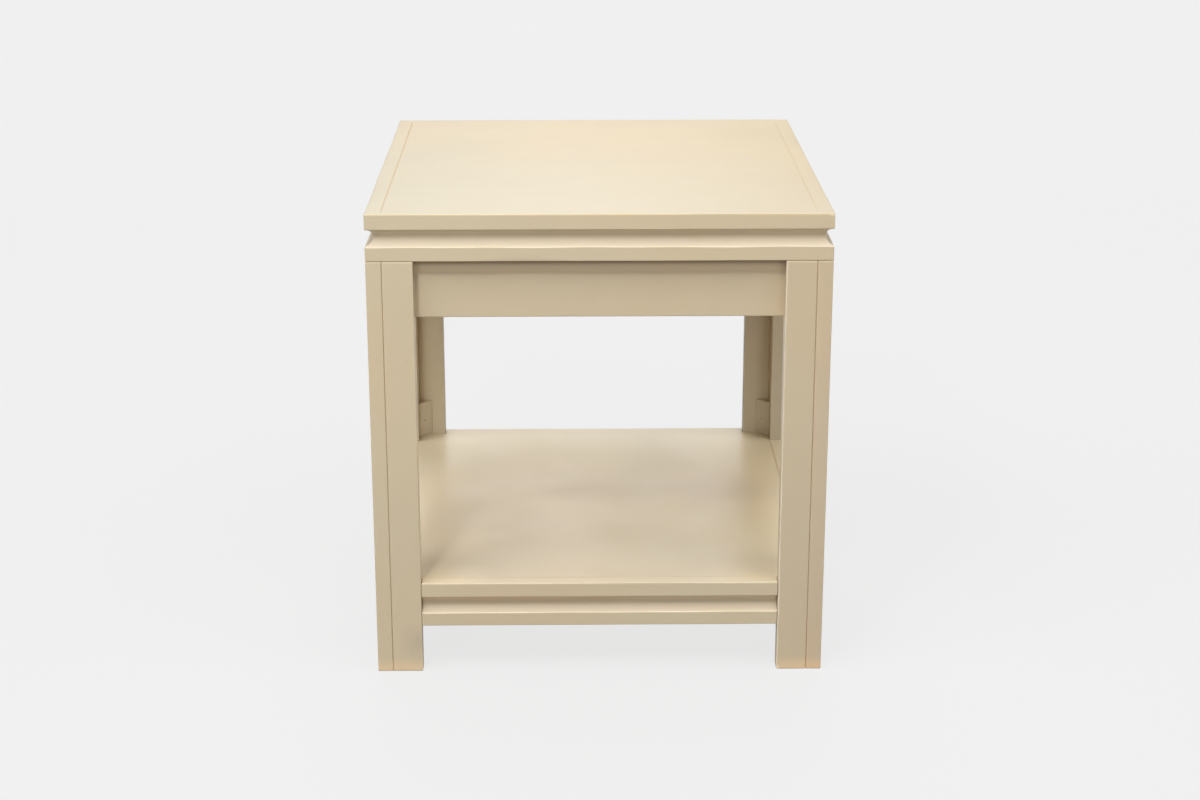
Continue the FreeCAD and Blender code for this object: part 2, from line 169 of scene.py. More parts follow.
def section(corners, eases, inset, seams=(0, 0, 0, 0), extra=None, glint_corners=()):
    """A convex outline with worn corners, drawn in by inset.

    An ease is how far the wear reaches from its corner.  A pair, before and after the
    corner, makes the lip of a V groove, whose root is at the longer of the two.
    seams says how far each corner shows as a joint instead of as an arris.
    extra is (side, offsets): more points along one side, measured from its middle.
    glint_corners are the corners whose edge mask is doubled, which gives them a painted highlight as well as a wider
    worn tint.
    """
    n = len(corners)
    moved = []
    for i in range(n):
        p, c, q = Vector(corners[i - 1]), Vector(corners[i]), Vector(corners[(i + 1) % n])
        u, v = (c - p).normalized(), (q - c).normalized()
        n1, n2 = Vector((-u.y, u.x)), Vector((-v.y, v.x))
        moved.append(c + (n1 + n2) * (inset / (1 + n1.dot(n2))))
    points = []
    for i in range(n):
        p, c, q = moved[i - 1], moved[i], moved[(i + 1) % n]
        back, on = (p - c), (q - c)
        lip = isinstance(eases[i], tuple)
        d1, d2 = [max(e - inset, 0.08) for e in (eases[i] if lip else (eases[i], eases[i]))]
        s1, s2 = min(2.4, back.length * 0.4 - d1), min(2.4, on.length * 0.4 - d2)
        back.normalize()
        on.normalize()
        a, b = c + back * d1, c + on * d2
        points.append((*(a + back * s1), 0.0, 1.0 if lip and d1 > d2 else 0.0))
        for k, (x, y, m) in enumerate(eased(a, c, b, 5)):
            if lip:
                points.append((x, y, 0.0, 1 - k / 5 if d1 > d2 else k / 5))
            else:
                points.append((x, y, m * (2 if i in glint_corners else 1) * (1 - ramp(seams[i], 0.0, 0.1)), m * seams[i]))
        points.append((*(b + on * s2), 0.0, 1.0 if lip and d2 > d1 else 0.0))
        if extra and extra[0] == i:
            middle = (Vector(corners[i]) + Vector(corners[(i + 1) % n])) / 2
            side = (Vector(corners[(i + 1) % n]) - Vector(corners[i])).normalized()
            face = (moved[i] - middle).dot(Vector((-side.y, side.x)))
            for t in extra[1]:
                points.append((*(middle + side * t + Vector((-side.y, side.x)) * face), 0.0, 0.0))
    return points


def stations(length, end, step, extra=()):
    """Places along a board with rounded ends: (distance, inset, end mask)."""
    rows = []
    for k in range(5):
        phi = math.radians(22.5 * k)
        t, i = end * (1 - math.cos(phi)), end * (1 - math.sin(phi))
        m = 0.25 + 0.75 * math.sin(math.pi * k / 4)
        rows += [(t, i, m), (length - t, i, m)]
    inner = end + 2.4
    rows += [(inner, 0.0, 0.0), (length - inner, 0.0, 0.0)]
    n = max(1, round((length - 2 * inner) / step))
    places = [inner + (length - 2 * inner) * k / n for k in range(1, n)]
    rows += [(t, 0.0, 0.0) for t in places if all(abs(t - e) > 0.15 * step for e in extra)]
    rows += [(t, 0.0, 0.0) for t in extra]
    return sorted(rows)


PLACES = {"x": (1, 2, 0), "y": (2, 0, 1), "z": (0, 1, 2)}


def board(node, along, material, radius=1.0, end=1.0, wobble=0.35, seams=None, chips=(), step=14.0, lips={}, gap=0.0, glint_corners=()):
    """A straight board.

    seams are the strengths of its joints at its four corners and two ends, chips are
    (corner, distance, size, half length) along its arrises, lips are the corners that
    form half of a V groove, and gap is how far it stops short of what stands on it.
    """
    lo, hi = millimetres(node)
    ia, ib, it = PLACES[along]
    w, h, length = hi[ia] - lo[ia], hi[ib] - lo[ib], hi[it] - lo[it] - gap
    corners = [(0, 0), (w, 0), (w, h), (0, h)]
    lines = [waves(node + str(k), (61, 143, 37)) for k in range(4)]
    radii = radius if isinstance(radius, tuple) else (radius,) * 4
    dense = [c[1] + c[3] * f for c in chips for f in (-1, -0.6, -0.3, 0, 0.3, 0.6, 1)]
    dense = [t for t in dense if end < t < length - end]
    rings = []
    for t, inset, end_mask in stations(length, end, step, dense):
        eases = [r * (1 + wobble * line(t)) for r, line in zip(radii, lines)]
        for corner, at, size, half in chips:
            eases[corner] += size * swell(t, at, half)
        for corner, (before, after) in lips.items():
            eases[corner] = (before, after)
        ring = []
        for a, b, edge, seam in section(corners, eases, inset, seams or (0, 0, 0, 0), None, glint_corners):
            p = [0.0] * 3
            p[ia], p[ib], p[it] = lo[ia] + a, lo[ib] + b, lo[it] + t
            if seams:
                seam = max(seam, end_mask * seams[4 if t < length / 2 else 5])
            else:
                edge = max(edge, end_mask)
            ring.append((*p, edge, seam))
        rings.append(ring)
    skin = Skin()
    skin.tube(rings)
    return skin.piece(node + "_board", material, "cream_lacquer", node)


def edge_section(shape):
    """The section of the moulded edge: (inwards, up, edge mask, seam mask), from the
    lower inner corner round the outside to the upper inner corner.  The edge mask rises
    to 2 on the lower arris of the hollow, and by gleam on the upper arris, where it paints a highlight."""
    low, high, top = (0.0, LOWER_BAND + shape["lift"]), (0.0, UPPER_BAND), EDGE_HEIGHT
    scoop = flowing([(u, z + shape["lift"] * (1 - ramp(z, 17.5, 26.0))) for u, z in SCOOP])
    sink, flat, foot = shape["sink"], shape["flat"], shape["foot"]
    points = [(BOARD - 0.4, 0.0, 0.0), (sink + shape["under"] + 2.6, 0.0, 0.0)]
    points += eased((sink + shape["under"], 0.0), (sink, 0.0), (sink * (1 - foot / flat), foot), 6)
    points += [(0.0, flat, 0.0), (0.0, flat + 1.2, 0.0), (0.0, low[1] - 3.2, 0.0)]
    f, g = shape["bevel"] / 28.0, shape["cove"] / 28.0
    # the lower arris of the hollow: edge mask 2, a painted highlight
    points += [(u, z, 2 * m) for u, z, m in eased((0.0, low[1] - shape["bevel"]), low, scoop(f), 6)]
    points += [(*scoop(f + (1 - f - g) * k / 24), 0.0) for k in range(1, 24)]
    points += eased(scoop(1 - g), high, (0.0, high[1] + shape["cove"]), 5)
    points += [(0.0, high[1] + shape["cove"] + 2.0, 0.0), (0.0, top - shape["head"] - 1.6, 0.0)]
    # the upper arris: gleam above 1 raises the edge mask into a painted highlight
    points += [(u, z, shape["gleam"] * m) for u, z, m in eased((0.0, top - shape["head"]), (0.0, top), (shape["over"], top), 7)]
    points += [(shape["over"] + 2.4, top, 0.0), (BOARD - 1.5, top, 0.0)]
    outline = [(u, z, m, 0.0) for u, z, m in points]
    s, line = shape["joint"], shape["line"]
    outline += [(BOARD - s, top, 0.0, line), (BOARD - s * 0.3, top - s * 0.3, 0.0, line), (BOARD, top - s, 0.0, line)]
    outline += [(BOARD, top - 3.0, 0.0, 0.0), (BOARD, 0.4, 0.0, 0.0)]
    return outline


def moulding(node, turn, material, mitred, shape):
    """A length of the moulded edge.  shape(t) gives how its arrises are worn at t."""
    lo, hi = millimetres(node)
    spin = Matrix.Rotation(math.radians(turn), 3, "Z")
    corners = [spin.inverted() @ Vector((x, y, 0)) for x in (lo[0], hi[0]) for y in (lo[1], hi[1])]
    x0, y0 = min(c.x for c in corners), min(c.y for c in corners)
    length = max(c.x for c in corners) - x0
    r = 1.1 if mitred else 1.0
    t0 = r * (1 - math.sqrt(0.5)) if mitred else 0.0
    rings = []
    if mitred:
        near = [t0, 0.45 * r, 0.65 * r, 0.85 * r, r, r + 0.8, r + 2.4, 4.8, 6.2, 7.8, 9.6, 12.0]
        places = [(t, 0.0) for t in near] + [(length - t, 0.0) for t in near]
    else:
        places = []
        for k in range(5):
            phi = math.radians(22.5 * k)
            t, i = r * (1 - math.cos(phi)), r * (1 - math.sin(phi))
            places += [(t, i), (length - t, i)]
        places += [(r + 2.4, 0.0), (length - r - 2.4, 0.0)]
    a = 12.0 if mitred else r + 2.4
    b = length - a
    n = round((b - a) / 5.0)
    places += [(a + (b - a) * k / n, 0.0) for k in range(1, n)]
    for t, inset in sorted(places):
        side = min(t, length - t)
        rounding = r - math.sqrt(max(0.0, r * r - (r - side) ** 2)) if mitred and side < r else 0.0
        ring = []
        form = shape(t, length)
        for u, z, edge, seam in edge_section(form):
            u_out = u + form["bow"] * max(0.0, 1 - u / 6.0)
            if mitred:
                start = max(u, t0)
                x = start + (t - t0) / (length - 2 * t0) * (length - 2 * start)
                u_out = max(u_out, rounding)
                if side < r and u < r and z < EDGE_HEIGHT - 0.2:
                    edge = max(edge, 0.8)
                # the mitre shows as a hairline across the upper face
                if side <= t0 + 1e-6 and z > EDGE_HEIGHT - 0.1:
                    z -= 0.08
                    seam = max(seam, 0.35)
            else:
                x = t
                u_out += inset * (1 - u / BOARD)
                if side < r and (u < r or z > EDGE_HEIGHT - 1.2):
                    edge = max(edge, 0.7)
            p = spin @ Vector((x0 + x, y0 + u_out, 0))
            # the slope that rises into the hollow
            slope = ramp(u, 0.3, 1.5) * ramp(z, 26.4, 24.2) if LOWER_BAND < z < UPPER_BAND and u < BOARD - 2 else 0.0
            z = inset + z * (1 - 2 * inset / EDGE_HEIGHT)
            ring.append((p.x, p.y, lo[2] + z, edge, seam, slope))
        rings.append(ring)
    skin = Skin()
    skin.tube(rings)
    return skin.piece(node + "_moulding", material, "cream_lacquer", node)


def wedge(node, turn, material, dot):
    """A three-cornered block with worn arrises and one punched, filled nail hole."""
    lo, hi = millimetres(node)
    side, height = hi[0] - lo[0], hi[2] - lo[2]
    spin = Matrix.Rotation(math.radians(turn), 3, "Z")
    corner = Vector((lo[0] if turn in (0, -90) else hi[0], lo[1] if turn in (0, 90) else hi[1], 0))
    at, up, radius, depth = dot
    fine = [f * radius for f in (-1.6, -1.25, -1, -0.75, -0.5, -0.25, 0, 0.25, 0.5, 0.75, 1, 1.25, 1.6)]
    lines = [waves(node + str(k), (17, 41)) for k in range(3)]
    rings = []
    for t, inset, end_mask in stations(height, 0.9, 6.0, [up + f for f in fine]):
        eases = [0.9 * (1 + 0.3 * line(t)) for line in lines]
        ring = []
        for a, b, edge, seam in section([(0, 0), (side, 0), (0, side)], eases, inset, (0, 0.9, 0.9), (1, [at + f for f in fine])):
            # distance from the nail on the long face
            across = (b - a) / math.sqrt(2) - at
            far = math.hypot(across, t - up)
            if far < radius * 1.3 and a + b > side * 0.9:
                sink = depth * (1 - ramp(far, radius * 0.55, radius * 1.3))
                a, b = a - sink / math.sqrt(2), b - sink / math.sqrt(2)
                seam = max(seam, 2 - 2 * ramp(far, radius * 0.6, radius * 1.3))
            p = corner + spin @ Vector((a, b, 0))
            if t < height / 2:
                seam = max(seam, 0.9 * end_mask)
            else:
                edge = max(edge, end_mask)
            ring.append((p.x, p.y, lo[2] + t, edge, seam))
        rings.append(ring)
    skin = Skin()
    skin.tube(rings)
    return skin.piece(node + "_wedge", material, "cream_lacquer", node)


# --------------------------------------------------------------------- materials


class Nodes:
    """A material's node tree, written as calls."""

    def __init__(self, name):
        self.material = bpy.data.materials.new(name)
        self.material.use_nodes = True
        self.tree = self.material.node_tree
        self.tree.nodes.clear()
        self.out = self.tree.nodes.new("ShaderNodeOutputMaterial")
        self.shader = self.tree.nodes.new("ShaderNodeBsdfPrincipled")
        self.tree.links.new(self.shader.outputs["BSDF"], self.out.inputs["Surface"])

    def link(self, value, socket):
        if isinstance(value, bpy.types.NodeSocket):
            self.tree.links.new(value, socket)
        else:
            socket.default_value = value

    def coords(self):
        return self.tree.nodes.new("ShaderNodeTexCoord").outputs["Object"]

    def mask(self, name):
        node = self.tree.nodes.new("ShaderNodeAttribute")
        node.attribute_name = name
        return node.outputs["Fac"]

    def mapped(self, vector, scale, shift=(0, 0, 0)):
        node = self.tree.nodes.new("ShaderNodeMapping")
        self.link(vector, node.inputs["Vector"])
        node.inputs["Scale"].default_value = scale
        node.inputs["Location"].default_value = shift
        return node.outputs["Vector"]

    def noise(self, vector, scale, detail=3.0, rough=0.5, warp=0.0):
        node = self.tree.nodes.new("ShaderNodeTexNoise")
        self.link(vector, node.inputs["Vector"])
        node.inputs["Scale"].default_value = scale
        node.inputs["Detail"].default_value = detail
        node.inputs["Roughness"].default_value = rough
        node.inputs["Distortion"].default_value = warp
        return node.outputs["Fac"]

    def remap(self, value, a, b, c=0.0, d=1.0, smooth=True):
        node = self.tree.nodes.new("ShaderNodeMapRange")
        node.interpolation_type = "SMOOTHSTEP" if smooth else "LINEAR"
        self.link(value, node.inputs["Value"])
        for name, v in (("From Min", a), ("From Max", b), ("To Min", c), ("To Max", d)):
            node.inputs[name].default_value = v
        return node.outputs["Result"]

    def math(self, kind, a, b=0.0, c=None):
        node = self.tree.nodes.new("ShaderNodeMath")
        node.operation = kind
        self.link(a, node.inputs[0])
        self.link(b, node.inputs[1])
        if c is not None:
            self.link(c, node.inputs[2])
        return node.outputs[0]

    def mix(self, fac, a, b, kind="MIX"):
        node = self.tree.nodes.new("ShaderNodeMix")
        node.data_type = "RGBA"
        node.blend_type = kind
        self.link(fac, node.inputs[0])
        for socket, v in ((node.inputs[6], a), (node.inputs[7], b)):
            self.link((*v, 1.0) if isinstance(v, tuple) else v, socket)
        return node.outputs[2]

    def xyz(self, vector):
        node = self.tree.nodes.new("ShaderNodeSeparateXYZ")
        self.link(vector, node.inputs[0])
        return node.outputs

    def bump(self, height, distance, strength, normal=None):
        node = self.tree.nodes.new("ShaderNodeBump")
        self.link(height, node.inputs["Height"])
        node.inputs["Distance"].default_value = distance
        node.inputs["Strength"].default_value = strength
        if normal is not None:
            self.link(normal, node.inputs["Normal"])
        return node.outputs["Normal"]

    def near(self, vector, place, size):
        """1 at a place, fading to 0 at size in each direction (metres)."""
        x = self.mapped(vector, [1 / s for s in size], [-p / s for p, s in zip(place, size)])
        node = self.tree.nodes.new("ShaderNodeVectorMath")
        node.operation = "LENGTH"
        self.link(x, node.inputs[0])
        return self.remap(node.outputs["Value"], 1.0, 0.0)


CREAM = (0.672, 0.5560, 0.3790)
# single pinholes and specks: place, radius
SPECKS = (
    ((0.0925, -0.3020, 0.5690), 0.0013),
    ((0.2686, -0.3050, 0.5449), 0.0009),
    ((-0.2330, -0.3050, 0.4090), 0.0009),
    ((-0.0680, 0.1280, 0.1190), 0.0011),
    ((-0.0150, -0.3050, 0.1106), 0.0009),
    ((0.2750, -0.3045, 0.5850), 0.0011),
)


def lacquer(name, grain, cream=CREAM, shelf=False):
    """Brushed satin lacquer over sanded wood.  grain is the axis that the boards run along."""
    m = Nodes(name)
    p = m.coords()
    run = [1.0, 1.0, 1.0]
    run["xyz".index(grain)] = 0.045
    along = m.mapped(p, run)
    broad = m.noise(p, 3.1, 2.0, 0.5)
    mottle = m.noise(p, 21.0, 4.0, 0.55, 0.3)
    streak = m.noise(along, 330.0, 4.0, 0.6)
    fine = m.noise(along, 1500.0, 2.0, 0.5)
    # colour: cream that leans to peach here and to straw there, with faint brush streaks
    warm = tuple(c * k for c, k in zip(cream, (1.012, 0.985, 0.965)))
    cool = tuple(c * k for c, k in zip(cream, (0.990, 1.008, 1.02)))
    colour = m.mix(m.remap(broad, 0.33, 0.67), warm, cool)
    colour = m.mix(m.remap(mottle, 0.35, 0.7, 0.0, 0.30), colour, tuple(c * 0.955 for c in cream))
    colour = m.mix(m.remap(streak, 0.4, 0.75, 0.0, 0.035), colour, tuple(c * k for c, k in zip(cream, (0.90, 0.87, 0.82))))
    # partly painted shade: the upper face of the top is toned darker and less saturated than the rest of the lacquer,
    # to offset how brightly it is lit, with a tint that leans peach towards the back right; its front arris is worn
    # to a golden line
    height = m.xyz(p)[2]
    lean = m.math("MULTIPLY_ADD", m.xyz(p)[0], 0.6, m.xyz(p)[1])
    top_shade_and_tint = m.mix(m.remap(lean, -0.32, 0.36), (0.800, 0.838, 0.862), (0.868, 0.848, 0.782))
    colour = m.mix(m.remap(height, 0.5890, 0.5897), colour, top_shade_and_tint, "MULTIPLY")
    # painted shade: a little darker towards the floor, where less light falls
    colour = m.mix(m.remap(height, 0.44, 0.05), colour, (0.950, 0.946, 0.942), "MULTIPLY")
    if shelf:
        # painted shade and light: the shelf darker towards the front, lighter towards the back
        reach = m.mix(m.remap(m.xyz(p)[1], -0.31, -0.06), (0.905, 0.900, 0.880), (1.120, 1.115, 1.045))
        colour = m.mix(m.remap(height, 0.1180, 0.1187), colour, reach, "MULTIPLY")
        # painted reflection: a pale bluish sheen along the back of the shelf
        reach = m.mix(m.remap(m.xyz(p)[1], 0.17, 0.30), (0.97, 0.97, 0.97), (1.05, 1.09, 1.19))
        colour = m.mix(m.remap(height, 0.1180, 0.1187), colour, reach, "MULTIPLY")
        # painted light and shade in soft patches: lighter along its sides, its front corners and its front band,
        # darker in patches between them
        for place, size, shade in (
            ((-0.200, 0.200, 0.119), (0.200, 0.220, 0.05), (0.850, 0.860, 0.875)),
            ((0.125, 0.190, 0.119), (0.130, 0.180, 0.05), (0.905, 0.912, 0.930)),
            ((0.185, -0.030, 0.119), (0.090, 0.180, 0.05), (0.890, 0.875, 0.860)),
            # the painted shadow of the front left leg
            ((-0.130, -0.085, 0.119), (0.105, 0.125, 0.05), (0.845, 0.845, 0.850)),
            ((-0.248, -0.020, 0.119), (0.060, 0.340, 0.05), (1.140, 1.200, 1.400)),
            ((0.248, 0.050, 0.119), (0.055, 0.320, 0.05), (1.140, 1.170, 1.230)),
            ((-0.205, -0.275, 0.119), (0.080, 0.060, 0.004), (1.170, 1.160, 1.140)),
            ((0.205, -0.275, 0.119), (0.090, 0.060, 0.004), (1.150, 1.150, 1.150)),
            ((0.000, -0.306, 0.119), (1.500, 0.036, 0.004), (1.110, 1.110, 1.100)),
            # painted light: lighter and warmer in the front hollow
            ((0.000, -0.298, 0.097), (1.500, 0.010, 0.008), (1.130, 1.060, 1.005)),
        ):
            colour = m.mix(m.near(p, place, size), colour, shade, "MULTIPLY")
    else:
        # painted shade: the front right leg a little darker than the left, as it is lit from the left; its side board
        # pinker, most towards the floor
        front_legs_below_top = m.math("MULTIPLY", m.remap(height, 0.5335, 0.5325), m.remap(m.xyz(p)[1], -0.2465, -0.2475))
        right_leg_painted_shade = m.math("MULTIPLY", front_legs_below_top, m.remap(m.xyz(p)[0], 0.2220, 0.2226))
        colour = m.mix(right_leg_painted_shade, colour, (0.962, 0.956, 0.952), "MULTIPLY")
        pink = m.math("MULTIPLY", front_legs_below_top, m.remap(m.xyz(p)[0], 0.2602, 0.2606))
        pink = m.math("MULTIPLY", pink, m.remap(height, 0.50, 0.28, 0.25, 1.0))
        colour = m.mix(pink, colour, (1.0, 0.970, 0.975), "MULTIPLY")
        # painted shade: the inside of the rear of the frame darker and cooler, as it lies in shade under the top
        rear_inside_painted_shade = m.math("MULTIPLY", m.remap(m.xyz(p)[1], 0.20, 0.24), m.remap(m.xyz(p)[1], 0.3044, 0.3030))
        rear_inside_painted_shade = m.math("MULTIPLY", rear_inside_painted_shade, m.remap(m.math("ABSOLUTE", m.xyz(p)[0]), 0.2794, 0.2780))
        rear_inside_painted_shade = m.math("MULTIPLY", rear_inside_painted_shade, m.remap(height, 0.5335, 0.5325))
        colour = m.mix(rear_inside_painted_shade, colour, (0.895, 0.928, 0.955), "MULTIPLY")
        # painted shade along the aprons where they meet the top, and painted light just below it on the front apron
        wide = m.remap(m.math("ABSOLUTE", m.xyz(p)[0]), 0.2612, 0.2604)
        deep = m.remap(m.math("ABSOLUTE", m.xyz(p)[1]), 0.2862, 0.2854)
        for span, place, size, shade in (
            (wide, (0.0, -0.286, 0.5292), (1.5, 0.004, 0.0078), (0.57, 0.48, 0.41)),
            (wide, (0.0, 0.286, 0.5292), (1.5, 0.004, 0.0078), (0.62, 0.58, 0.53)),
            (deep, (-0.261, 0.0, 0.5292), (0.004, 1.5, 0.0078), (0.62, 0.58, 0.53)),
            (deep, (0.261, 0.0, 0.5292), (0.004, 1.5, 0.0078), (0.62, 0.58, 0.53)),
            (wide, (0.0, -0.286, 0.5180), (1.5, 0.004, 0.0070), (1.15, 1.12, 1.07)),
        ):
            colour = m.mix(m.math("MULTIPLY", span, m.near(p, place, size)), colour, shade, "MULTIPLY")
    rub = m.noise(p, 34.0, 4.0, 0.6)
    worn = m.remap(m.mask("edge"), 0.3, 1.0)
    thin = m.math("MULTIPLY", worn, m.remap(rub, 0.28, 0.72, 0.25, 0.95))
    colour = m.mix(m.math("MULTIPLY", thin, 0.22), colour, tuple(c * k for c, k in zip(cream, (1.08, 0.98, 0.78))))
    # painted light and shade on the slope under the hollow: a cool pale sheen on the top's edges, a cooler, darker
    # tone on the shelf's
    slope = m.math("MULTIPLY", m.mask("slope"), m.remap(mottle, 0.3, 0.7, 0.85, 1.0))
    pale = (0.905, 0.920, 0.985) if shelf else (1.01, 1.045, 1.15)
    colour = m.mix(slope, colour, tuple(c * k for c, k in zip(cream, pale)))
    # painted highlight where the edge mask rises above 1: the lower arris of each hollow, the shelf's upper arris and
    # the inner front arris of the front right leg
    painted_highlight = m.remap(m.mask("edge"), 0.9, 1.9)
    colour = m.mix(m.math("MULTIPLY", painted_highlight, m.remap(rub, 0.2, 0.6, 0.75, 1.0)), colour, tuple(c * k for c, k in zip(cream, (1.20, 1.28, 1.50))))
    gold = m.math("MULTIPLY", worn, m.remap(height, 0.5885, 0.5893))
    gold = m.math("MULTIPLY", gold, m.remap(m.xyz(p)[1], -0.3036, -0.3042))
    gold = m.math("MULTIPLY", gold, m.remap(rub, 0.25, 0.7, 0.45, 1.0))
    colour = m.mix(gold, colour, tuple(c * k for c, k in zip(cream, (1.0, 0.89, 0.63))))
    # glue and dust in the joints
    joint = m.math("MULTIPLY", m.mask("seam"), m.remap(m.noise(p, 26.0, 3.0, 0.6), 0.25, 0.75, 0.70, 1.0))
    colour = m.mix(m.math("MULTIPLY", joint, 0.75), colour, tuple(c * k for c, k in zip(cream, (0.84, 0.67, 0.46))))
    nail = m.remap(m.mask("seam"), 1.1, 1.9)
    colour = m.mix(m.math("MULTIPLY", nail, 0.85), colour, (0.10, 0.068, 0.036))
    # a few pinholes and specks of dust under the coat
    specks = [m.near(p, place, (size, size, size)) for place, size in SPECKS]
    speck = specks[0]
    for spot in specks[1:]:
        speck = m.math("MAXIMUM", speck, spot)
    colour = m.mix(m.math("MULTIPLY", speck, 0.55), colour, (0.22, 0.15, 0.085))
    # painted light: the feet lighter and warmer at the bottom, as lit from the floor; and a grey scuff on one of them
    foot = m.math("MULTIPLY", m.remap(height, 0.021, 0.002), m.remap(m.noise(p, 17.0, 3.0, 0.6), 0.3, 0.7, 0.55, 1.0))
    colour = m.mix(m.math("MULTIPLY", foot, 0.9), colour, (1.36, 1.21, 1.05), "MULTIPLY")
    scuff = m.math(
        "MULTIPLY",
        m.near(p, (-0.2340, -0.305, 0.042), (0.023, 0.012, 0.030)),
        m.remap(m.noise(m.mapped(p, (1.0, 1.0, 0.5)), 60.0, 3.0, 0.55), 0.30, 0.70, 0.45, 1.0),
    )
    colour = m.mix(m.math("MULTIPLY", scuff, 0.40), colour, (0.36, 0.32, 0.26))
    m.link(colour, m.shader.inputs["Base Color"])
    # sheen: satin, a little glossier where hands rub the arrises, duller in the joints
    rough = m.remap(m.noise(p, 8.5, 4.0, 0.6, 0.4), 0.3, 0.7, 0.28, 0.36)
    rough = m.math("SUBTRACT", rough, m.math("MULTIPLY", thin, 0.05))
    rough = m.math("ADD", rough, m.math("MULTIPLY", joint, 0.25))
    m.link(rough, m.shader.inputs["Roughness"])
    # relief: sanded wood felt through the coat, brush marks, orange peel
    normal = m.bump(m.noise(p, 5.2, 2.0, 0.5), 0.0010, 0.10)
    normal = m.bump(streak, 0.00004, 0.12, normal)
    normal = m.bump(fine, 0.00003, 0.08, normal)
    normal = m.bump(m.noise(p, 520.0, 2.0, 0.5), 0.00004, 0.10, normal)
    m.link(normal, m.shader.inputs["Normal"])
    m.shader.inputs["IOR"].default_value = 1.5
    return m.material


def bare_wood(name):
    """Planed softwood for the blocks that are only seen from below."""
    m = Nodes(name)
    p = m.coords()
    rings = m.noise(m.mapped(p, (1.0, 1.0, 0.12)), 85.0, 3.0, 0.55, 1.6)
    fibre = m.noise(m.mapped(p, (1.0, 1.0, 0.03)), 900.0, 4.0, 0.6)
    blotch = m.noise(p, 14.0, 3.0, 0.5)
    colour = m.mix(m.remap(rings, 0.35, 0.68), (0.60, 0.42, 0.235), (0.43, 0.265, 0.125))
    colour = m.mix(m.remap(fibre, 0.45, 0.8, 0.0, 0.45), colour, (0.30, 0.18, 0.085))
    colour = m.mix(m.remap(blotch, 0.4, 0.75, 0.0, 0.30), colour, (0.66, 0.49, 0.30))
    m.link(colour, m.shader.inputs["Base Color"])
    m.link(m.remap(fibre, 0.3, 0.75, 0.58, 0.78), m.shader.inputs["Roughness"])
    normal = m.bump(fibre, 0.0002, 0.35)
    normal = m.bump(rings, 0.0003, 0.20, normal)
    m.link(normal, m.shader.inputs["Normal"])
    return m.material


def plated_steel(name):
    """Zinc plated screws and brads."""
    m = Nodes(name)
    p = m.coords()
    haze = m.noise(p, 260.0, 4.0, 0.6)
    turned = m.noise(m.mapped(p, (1.0, 1.0, 0.2)), 2600.0, 2.0, 0.5)
    colour = m.mix(m.remap(haze, 0.35, 0.7), (0.60, 0.60, 0.58), (0.52, 0.47, 0.36))
    m.link(colour, m.shader.inputs["Base Color"])
    m.link(m.remap(haze, 0.3, 0.75, 0.24, 0.42), m.shader.inputs["Roughness"])
    m.link(m.bump(turned, 0.00004, 0.3), m.shader.inputs["Normal"])
    m.shader.inputs["Metallic"].default_value = 1.0
    return m.material


LACQUER = {axis: lacquer("cream_lacquer_" + axis, axis) for axis in "xyz"}
# the shelf's copy of the lacquer carries its own painted light and shade
SHELF = {axis: lacquer("cream_lacquer_shelf_" + axis, axis, shelf=True) for axis in "xy"}
BARE = bare_wood("bare_softwood")
STEEL = plated_steel("zinc_plated_steel")

# ------------------------------------------------------------------------ pieces

# how far the arrises of the top are worn at its four corners
WORN = {("front", "left"): (1.0, 40.0), ("front", "right"): (5.6, 10.0), ("rear", "left"): (1.4, 40.0), ("rear", "right"): (1.2, 40.0)}
# how plainly the joint beside each edge shows
LINES = {"left": 1.0, "right": 0.60, "front": 0.30, "rear": 0.10}


def top_shape(side, first, last):
    """The wear along one edge of the top: uneven, as an arris sanded by hand is."""
    head, lift, foot, bow = [waves("top " + side + k, n) for k, n in (("a", (190, 330)), ("b", (120, 260)), ("c", (90, 210)), ("d", (170, 400)))]

    def shape(t, length):
        calm = ramp(min(t, length - t), 2.0, 45.0)
        worn, reach = first if t < length / 2 else last
        hand = worn + (1.5 - worn) * ramp(min(t, length - t), 0.5, reach)
        dent = swell(t, 186.0, 72.0) if side == "front" else swell(t, length * 0.62, 55.0) * 0.5
        return {
            "head": hand + calm * (0.9 * head(t) + 0.3),
            "over": 0.85 + 0.15 * calm * head(t * 1.3 + 40) + 0.3 * max(0.0, hand - 1.5),
            "lift": 0.16 * calm * lift(t),
            "bevel": 1.35 + 0.3 * calm * lift(t + 70),
            "cove": 0.6,
            "foot": 0.9 + calm * 0.1 * foot(t),
            "under": 0.8,
            "flat": 1.8 + 4.8 * dent,
            "sink": 0.5 * dent,
            "joint": {"left": 0.5, "right": 0.4}.get(side, 0.22),
            "line": LINES[side],
            "gleam": 1.0,
            "bow": 0.12 * calm * (1 + bow(t)),
        }

    return shape


def shelf_shape(side):
    head, lift, foot, bow = [waves("shelf " + side + k, n) for k, n in (("a", (150, 310)), ("b", (130, 240)), ("c", (90, 210)), ("d", (170, 400)))]

    def shape(t, length):
        return {
            "head": 1.3 + 0.5 * head(t),
            "over": 0.85,
            "lift": 0.14 * lift(t),
            "bevel": 1.3 + 0.2 * lift(t + 70),
            "cove": 0.6,
            "foot": 0.9 + 0.15 * foot(t),
            "under": 0.8,
            "flat": 1.8,
            "sink": 0.0,
            "joint": 0.7 if side == "right" else 0.22,
            "line": {"right": 1.0, "rear": 0.1}.get(side, 0.3),
            # a stronger painted highlight along the shelf's upper arris
            "gleam": 1.8,
            "bow": 0.10 * (1 + bow(t)),
        }

    return shape


